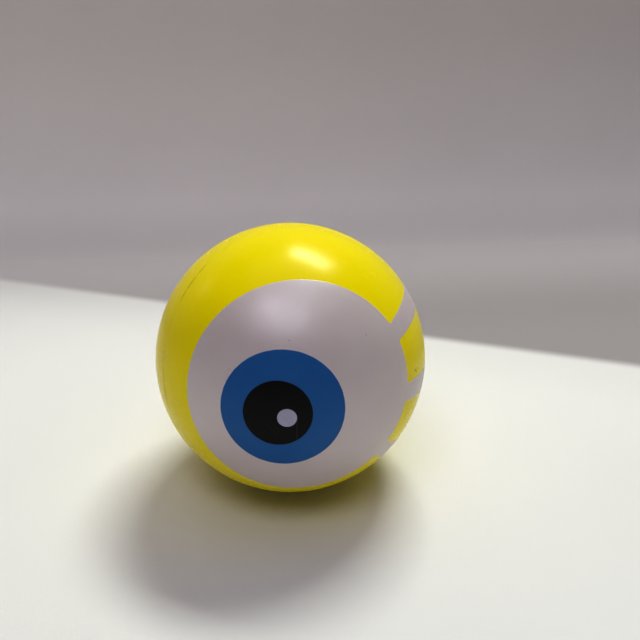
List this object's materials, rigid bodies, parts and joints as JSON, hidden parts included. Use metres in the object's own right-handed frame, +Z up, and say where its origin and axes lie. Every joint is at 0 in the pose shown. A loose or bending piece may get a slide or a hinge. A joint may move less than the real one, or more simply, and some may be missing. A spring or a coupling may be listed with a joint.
{
  "type": "foam stress ball",
  "caption": "Soft foam stress ball, yellow, printed with a cartoon eye: a white disc with lashes, a blue iris and a black pupil.",
  "frame": {"origin": "centre of the small flat underneath, which the ball rests on", "axes": "+Z up; the printed eye looks along -Y, and its lashes point to +X"},
  "size_m": [0.0631, 0.0633, 0.0627],
  "materials": {
    "foam_core": "matte soft polyurethane foam, fine open cells",
    "foam_skin": "matte dense polyurethane skin",
    "yellow_coat": "satin flexible polyurethane paint",
    "white_print": "satin flexible ink",
    "iris_print": "satin flexible ink",
    "pupil_print": "satin flexible ink",
    "catchlight_print": "satin flexible ink"
  },
  "bodies": {
    "root": {"foam_core": "foam_core", "foam_skin": "foam_skin", "yellow_coat": "yellow_coat", "white_print": "white_print", "iris_print": "iris_print", "pupil_print": "pupil_print", "catchlight_print": "catchlight_print"}
  },
  "joints": []
}
